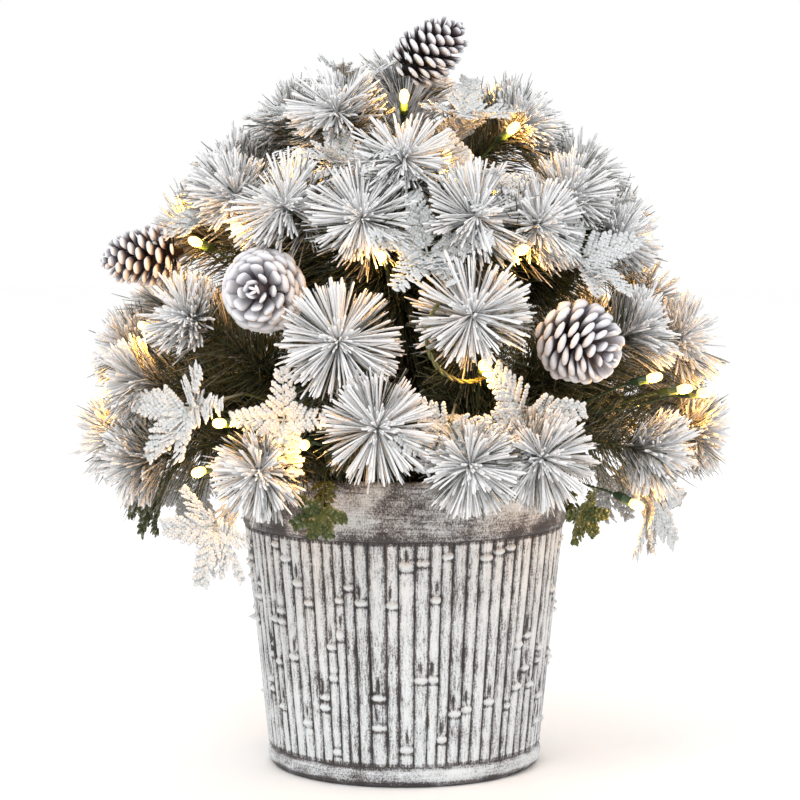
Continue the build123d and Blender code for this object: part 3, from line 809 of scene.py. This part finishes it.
def twisted_pair(gather, start, end, pitch, slack=0.0):
    """Twisted leads from start to end that hang down by slack between them."""
    length = np.linalg.norm(end - start)
    share = np.linspace(0, 1, max(8, int(length / (pitch / 6))))
    middle = start + (end - start) * share[:, None]
    drop = np.array([0, 0, slack]) * (np.sin(np.pi * share) ** 1.5)[:, None]
    twist_leads(gather, middle - drop, LEAD_SPACING, pitch)


def lamp_fitting(gather, start, end, along):
    """A lamp's green holder, with its ribs, and the leads behind it."""
    tail = end - along * HOLDER_LENGTH
    path = tail + (end - tail) * HOLDER_STEPS[:, None]
    gather.tubes(path[None], HOLDER_RADII[None] * MM, sides=10, tint=0.5)
    twisted_pair(gather, start, tail + along * MM, 8 * MM, slack=9 * MM)


def add_glow(name, place, body):
    """The warm light of one bulb."""
    glow = bpy.data.lights.new(name, "POINT")
    glow.energy = GLOW_POWER
    glow.color = GLOW_COLOUR
    glow.shadow_soft_size = 4 * MM
    obj = bpy.data.objects.new(name, glow)
    obj.location = place
    bpy.context.collection.objects.link(obj)
    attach(obj, body)


def make_lamps(name):
    """A bough's bulbs and their lights, and the holders and leads behind them."""
    glass, fittings = Gather(), Gather()
    glows = []
    for points in solids_of("lamps_" + name):
        start, end = spin_axis(points, HUBS[name])
        if np.linalg.norm(end - start) < LONGEST_BULB:
            # Each bulb is made with its holder
            continue
        along = unit(end - start)
        radius = np.linalg.norm(np.cross(points - start, along), axis=1).max()
        if radius < WIDEST_RUN:
            twisted_pair(fittings, start, end, 7 * MM)
            continue
        lamp_fitting(fittings, start, end, along)
        path = end + along * BULB_LENGTH * BULB_STEPS[:, None]
        glass.tubes(path[None], BULB_RADII[None] * MM, sides=10, tint=0.5)
        # The light stands a little under its bulb
        glows.append(end + along * 5 * MM - np.array([0, 0, 7.5 * MM]))
    finish(glass, "bulbs_" + name, "bulb", BODY[name], "lamps_" + name)
    finish(fittings, "holders_" + name, "holder", BODY[name])
    for number, place in enumerate(glows):
        add_glow(f"glow_{name}_{number}", place, BODY[name])


def make_bow():
    """A bow of slack leads that stands clear of the needles beside a front lamp."""
    lamps = [spin_axis(points, HUBS[BOW_BOUGH]) for points in solids_of("lamps_" + BOW_BOUGH)]
    lamps = [(start, end) for start, end in lamps if np.linalg.norm(end - start) > 60 * MM and end[2] > 0.30]
    start, end = min(lamps, key=lambda lamp: abs(lamp[1][0]))
    tail = end - unit(end - start) * HOLDER_LENGTH
    bends = tail + np.array([[6, 6, -2], [-20, -26, -16], [-52, -26, 8], [-46, -16, 44], [-22, 10, 58]]) * MM
    share = np.linspace(0, 1, 60)
    while len(bends) > 1:
        # Between each two neighbours, at the same share of the way, until one path is left
        bends = [first + (second - first) * share[:, None] for first, second in zip(bends, bends[1:])]
    gather = Gather()
    twist_leads(gather, bends[0], 2.0 * MM, 16 * MM, 1.05 * MM)
    finish(gather, "lead_bow", "lead", BODY[BOW_BOUGH])


# ---------------------------------------------------------------- pot


CANES = 74
CANE_ROWS = 134
# Places across a cane, from its edge at -1; the edge at 1 is the next cane's first place
ACROSS_CANE = np.array([-1.0, -0.86, -0.62, -0.32, 0.0, 0.32, 0.62, 0.86])
CANE_RING_RADIUS = 116 * MM
CANE_FOOT_RADIUS = 109.9 * MM
BEAD_RADIUS = 110.6 * MM
BEAD_TOP = 17 * MM
BAND_HEIGHT = 47 * MM
POT_WALL = 8.5 * MM
MOSS_FIBRES = 1500


def wander(rng, heights, size):
    """A slow sideways wander along a height axis."""
    total = np.zeros_like(heights)
    for wave in (0.05, 0.09, 0.16):
        total += size * rng.normal(0, 0.5) * np.sin(heights / wave * math.pi + rng.uniform(0, 6.3))
    return total


def blob(heights, widths, tall, wide):
    """A soft spot on a cane: tall and wide are its half sizes."""
    return np.exp(-((heights[:, None] / tall) ** 2) - (widths[None] / wide) ** 2)


def ridge(heights, tall):
    """A soft ring round a cane."""
    return np.exp(-((heights / tall) ** 2))


def cane_edges(rng):
    """Angles of the edges between canes of uneven width, a few of them wide."""
    widths = rng.uniform(0.78, 1.2, CANES)
    widths[rng.choice(CANES, 5, replace=False)] *= 1.6
    return np.concatenate(([0], np.cumsum(widths))) / widths.sum() * 2 * math.pi


def pot_outline(rim, top):
    """Radii and heights from the floor inside, over the rim and down to the foot, and the rows of canes."""
    inner = rim - POT_WALL
    band_foot = top - BAND_HEIGHT
    outline = [(inner - 1.5 * MM, 190 * MM), (inner - 0.6 * MM, 210 * MM), (inner, top - 4 * MM),
               (inner + 1.2 * MM, top - 1.0 * MM), (inner + 3.5 * MM, top), (rim - 2.5 * MM, top - 0.4 * MM),
               (rim - 0.8 * MM, top - 2.2 * MM)]
    for step in np.linspace(0.08, 0.93, 15):
        outline.append((rim - 0.2 * MM, top - step * (top - band_foot)))
    outline += [(rim - 1.0 * MM, band_foot + 1.2 * MM), (rim - 2.8 * MM, band_foot + 0.3 * MM)]
    heights = np.linspace(band_foot - 0.5 * MM, BEAD_TOP, CANE_ROWS)
    rise = rim - 1.9 * MM - CANE_FOOT_RADIUS
    radii = CANE_FOOT_RADIUS + rise * (heights - BEAD_TOP) / (band_foot - BEAD_TOP)
    canes = slice(len(outline), len(outline) + CANE_ROWS)
    outline += list(zip(radii, heights))
    outline += [(BEAD_RADIUS - 2.2 * MM, 15.5 * MM), (BEAD_RADIUS - 0.6 * MM, 12.8 * MM),
                (BEAD_RADIUS, 9.5 * MM), (BEAD_RADIUS - 0.3 * MM, 6.2 * MM),
                (BEAD_RADIUS - 1.4 * MM, 3.2 * MM), (BEAD_RADIUS - 3.6 * MM, 0.9 * MM),
                (106 * MM, 0.0), (60 * MM, 0.0), (1 * MM, 0.0)]
    radii, heights = np.array(outline).T
    return radii, heights, canes


def carve_cane(rng, half, heights, lowest, highest):
    """One cane's crest, knuckles and buds: how far its surface moves outwards and sideways, and its painted shade
    and highlight.

    half is half the cane's angle. The knuckles stand between lowest and highest.
    """
    crest = (1 - np.abs(ACROSS_CANE) ** 2.3) ** 0.62
    depth = np.clip(half * CANE_RING_RADIUS * 0.52, 2.0 * MM, 3.4 * MM)
    body = crest[None] * depth * (1 + wander(rng, heights, 0.10)[:, None])
    shift = wander(rng, heights, 0.0035)[:, None] * (1 - np.abs(ACROSS_CANE) * 0.4)
    shade = np.zeros_like(body)
    for spot in rng.uniform(lowest, highest, rng.choice([1, 2, 2, 3])):
        # Each knuckle: a ring with painted highlight, and dips under and over it with painted shade
        ring = ridge(heights - spot, 1.7 * MM)
        under = ridge(heights - spot + 3.4 * MM, 1.2 * MM)
        over = ridge(heights - spot - 3.2 * MM, 1.3 * MM)
        body += (ring * 2.0 * MM - under * 0.4 * MM - over * 0.5 * MM)[:, None] * (0.3 + 0.7 * crest)
        shade += (ring * 0.45 - under * 0.55 - over * 0.35)[:, None]
        if rng.uniform() < 0.5:
            places = ACROSS_CANE * half * CANE_RING_RADIUS
            places = places - rng.uniform(-0.4, 0.4) * half * CANE_RING_RADIUS
            # A bud takes painted highlight, and the notch above it painted shade
            bud = blob(heights - spot - 1.2 * MM, places, 2.4 * MM, 2.6 * MM)
            notch = blob(heights - spot - 10.0 * MM, places, 5.5 * MM, 1.2 * MM)
            body += bud * 2.3 * MM - notch * 1.1 * MM
            shade += bud * 0.45 - notch * 1.1
    # The crests take the paint and painted shade darkens each cane towards its edges; each cane has a tone of its
    # own
    shade += crest[None] * 0.92 - 0.10 + rng.uniform(-0.12, 0.12)
    return body - depth, shift, shade


def make_pot():
    """The pot: a smooth rim band, a ring of canes and a foot bead. A painted shade attribute darkens its hollows
    and lightens its knuckle rings, and band is 1 on the rim band, 0.7 on the bead and 0 on the canes."""
    low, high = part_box("pot")
    top = high[2]
    rim = (high[0] - low[0]) / 2
    rng = np.random.default_rng(7)
    edges = cane_edges(rng)
    halves = np.diff(edges) / 2
    angle = (((edges[:-1] + edges[1:]) / 2)[:, None] + ACROSS_CANE * halves[:, None]).ravel()
    radii, heights, canes = pot_outline(rim, top)
    rows, columns = len(radii), len(angle)
    radius = np.repeat(radii[:, None], columns, 1)
    height = np.repeat(heights[:, None], columns, 1)
    turn = np.repeat(angle[None], rows, 0)
    # Painted shade and highlight, over a level of 0.62 where there is neither
    painted_shade_and_tone = np.full((rows, columns), 0.62)
    band = np.zeros((rows, columns))
    band[:canes.start] = 1.0
    band[canes.stop:] = 0.7
    z = heights[canes]
    limits = (BEAD_TOP + 8 * MM, top - BAND_HEIGHT - 6 * MM)
    carved = [carve_cane(rng, half, z, *limits) for half in halves]
    lift, shift, shade = (np.hstack(part) for part in zip(*carved))
    turn[canes] += shift
    radius[canes] += lift + 0.25 * MM * np.sin(turn[canes] * 190 + z[:, None] * 40)
    painted_shade_and_tone[canes] = shade
    # The canes fade into a dark seam of painted shadow under the band and into painted shade over the bead; the
    # band darkens a little towards its foot, the bead's underside takes painted shade, and the bead has soft chips
    painted_shade_and_tone[canes.start - 4:canes.start - 1] -= 0.12
    painted_shade_and_tone[canes.start - 1:canes.start + 2] *= 0.35
    painted_shade_and_tone[canes.stop - 2:canes.stop + 1] *= 0.45
    painted_shade_and_tone[canes.stop + 1:canes.stop + 4] = 0.78
    painted_shade_and_tone[canes.stop + 4:] = 0.30
    swirl = np.sin(turn * 3 + 0.7) + 0.6 * np.sin(turn * 7 + 2.1) + 0.4 * np.sin(turn * 17 + height * 300)
    radius[:canes.start - 1] += 0.35 * MM * swirl[:canes.start - 1]
    radius[canes.stop:canes.stop + 5] += 0.4 * MM * swirl[canes.stop:canes.stop + 5]
    # The first column again at the end, so that the surface closes along a seam at the back
    radius, height, painted_shade_and_tone, band = (np.hstack([grid, grid[:, :1]]) for grid in (radius, height, painted_shade_and_tone, band))
    turn = np.hstack([turn, turn[:, :1] + 2 * math.pi])
    columns += 1
    points = np.stack([-radius * np.sin(turn), radius * np.cos(turn), height], axis=-1)
    index = np.arange(rows * columns).reshape(rows, columns)
    upper, lower = index[:-1], index[1:]
    quads = np.stack([upper[:, :-1], lower[:, :-1], lower[:, 1:], upper[:, 1:]], axis=-1).reshape(-1, 4)
    uvs = np.empty((rows, columns, 2))
    uvs[..., 0] = np.linspace(0, 1, columns)
    path = np.concatenate(([0], np.cumsum(np.hypot(np.diff(radii), np.diff(heights)))))
    uvs[..., 1] = (path / path[-1])[:, None]
    gather = Gather()
    gather.add(points, (quads, index[-1][None, :-1]), uvs)
    obj = gather.build("pot_body", pot_material())
    for name, values in (("painted_shade_and_tone", painted_shade_and_tone), ("band", band)):
        layer = obj.data.attributes.new(name, "FLOAT", "POINT")
        layer.data.foreach_set("value", values.astype(np.float32).ravel())
    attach(obj, "pot_and_trunk")
    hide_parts("pot")


def make_moss():
    """A lumpy moss mat with short fibres."""
    low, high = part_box("moss_cover")
    reach = (high[0] - low[0]) / 2
    gather = Gather()
    rings, spokes = 30, 90
    share = np.linspace(0.09, 1, rings)
    turn = np.arange(spokes) * 2 * math.pi / spokes
    x = reach * share[:, None] * np.sin(turn)
    y = reach * share[:, None] * np.cos(turn)
    lump = np.sin(x * 160) * np.cos(y * 140) + 0.6 * np.sin(x * 330 + 1) * np.sin(y * 290)
    z = high[2] - 1.5 * MM + 1.5 * MM * lump
    points = np.stack([x, y, z], axis=-1)
    index = np.arange(rings * spokes).reshape(rings, spokes)
    after = np.roll(index, -1, 1)
    quads = np.stack([index[:-1], index[1:], after[1:], after[:-1]], axis=-1)
    gather.add(points, (quads.reshape(-1, 4)[:, ::-1],), np.full((rings, spokes, 2), 0.3))
    rng = np.random.default_rng(3)
    radius = reach * np.sqrt(rng.uniform(0.02, 0.97, MOSS_FIBRES))
    angle = rng.uniform(0, 2 * math.pi, MOSS_FIBRES)
    heights = np.full(MOSS_FIBRES, high[2] - 1 * MM)
    roots = np.stack([radius * np.sin(angle), radius * np.cos(angle), heights], axis=-1)
    leans = rng.normal(0, 0.8, (2, MOSS_FIBRES))
    aims = unit(np.stack([*leans, np.full(MOSS_FIBRES, 0.8)], axis=-1))
    lengths = rng.uniform(6, 14, MOSS_FIBRES) * MM
    bends = rng.normal(0, 0.2, (MOSS_FIBRES, 3))
    tints = rng.uniform(0.05, 0.6, MOSS_FIBRES)
    needles(gather, FIBRE, roots, aims, lengths, bends, FIBRE.radii, tints)
    finish(gather, "moss_mat", "moss", "pot_and_trunk", "moss_cover")


# ---------------------------------------------------------------- CAD nodes that stay


# By material: its nodes, its darkest and lightest colour, its roughness, the grain's scale and its bump
CAD_LOOKS = {
    "stem_tape": (["stem_" + name for name in BOUGHS],
                  (0.030, 0.036, 0.020), (0.075, 0.085, 0.05), 0.75, (420, 420, 420)),
    "trunk_tape": (["trunk"], (0.025, 0.018, 0.012), (0.085, 0.062, 0.045), 0.8, (120, 120, 900)),
    "case_plastic": (["battery_case", "battery_cover"],
                     (0.016, 0.030, 0.018), (0.024, 0.042, 0.026), 0.42, (900, 900, 900), 0.12),
    "button_rubber": (["timer_button"], (0.40, 0.40, 0.38), (0.48, 0.48, 0.46), 0.6, (1500, 1500, 1500), 0.1),
    "lead_green": (["riser_wire"], (0.02, 0.05, 0.022), (0.03, 0.07, 0.03), 0.4, (700, 700, 700), 0.1),
    "foam": (["foam_plug"], (0.05, 0.07, 0.04), (0.09, 0.12, 0.07), 0.95, (800, 800, 800)),
    "plaster": (["ballast"], (0.45, 0.44, 0.41), (0.6, 0.59, 0.56), 0.9, (90, 90, 90)),
    "cell_jacket": (["battery_cells"],
                    (0.012, 0.012, 0.014), (0.02, 0.02, 0.024), 0.3, (300, 300, 300), 0.05),
    "contact_metal": (["battery_contacts"], (0.6, 0.6, 0.58), (0.72, 0.72, 0.7), 0.3, (600, 600, 600), 0.05),
    "board_green": (["control_board"], (0.01, 0.07, 0.025), (0.02, 0.11, 0.04), 0.45, (500, 500, 500), 0.1),
}


def dress_cad_nodes():
    for name, (nodes, *look) in CAD_LOOKS.items():
        material = grained_material(name, *look)
        for node in nodes:
            mesh = frame["nodes"][node].data
            mesh.materials.clear()
            mesh.materials.append(material)


# ---------------------------------------------------------------- the tree

make_camera()
make_studio()
MATERIALS = {
    "pine": strand_material("pine_needles", PINE_STOPS, 0.75, 0.40),
    "cedar": strand_material("cedar_flock", CEDAR_STOPS, 0.8, 0.24),
    # Painted shade darkens the frosted cones' scales towards their roots
    "frost_and_painted_shade": strand_material("cone_frost_and_painted_shade", CONE_STOPS, 0.7, 0.22, rise=0.85, level=0.70),
    "tipped": strand_material("cone_tipped", CONE_STOPS, 0.7, 0.24, rise=1.8, level=0.52),
    "moss": strand_material("moss", [(0, (0.02, 0.03, 0.008)), (1, (0.10, 0.11, 0.04))], 0.95, 0.4),
    "bulb": bulb_material(),
    "lead": grained_material(
        "lead_olive", (0.075, 0.080, 0.022), (0.17, 0.165, 0.06), 0.45, (500, 500, 500), 0.1),
    "holder": grained_material(
        "holder_green", (0.02, 0.045, 0.018), (0.035, 0.07, 0.03), 0.4, (700, 700, 700), 0.1),
}
dress_cad_nodes()
make_pot()
make_moss()
for bough in BOUGHS:
    make_stem_greens(bough)
make_trunk_greens()
make_bow()
for bough in [*BOUGHS, "crown"]:
    make_pine(bough)
    make_cedar(bough)
    make_lamps(bough)
node_body = {node: body for body, nodes in frame["record"]["behaviour"]["bodies"].items() for node in nodes}
for node in frame["nodes"]:
    if node.startswith("cone_"):
        make_cone(node, node_body[node])
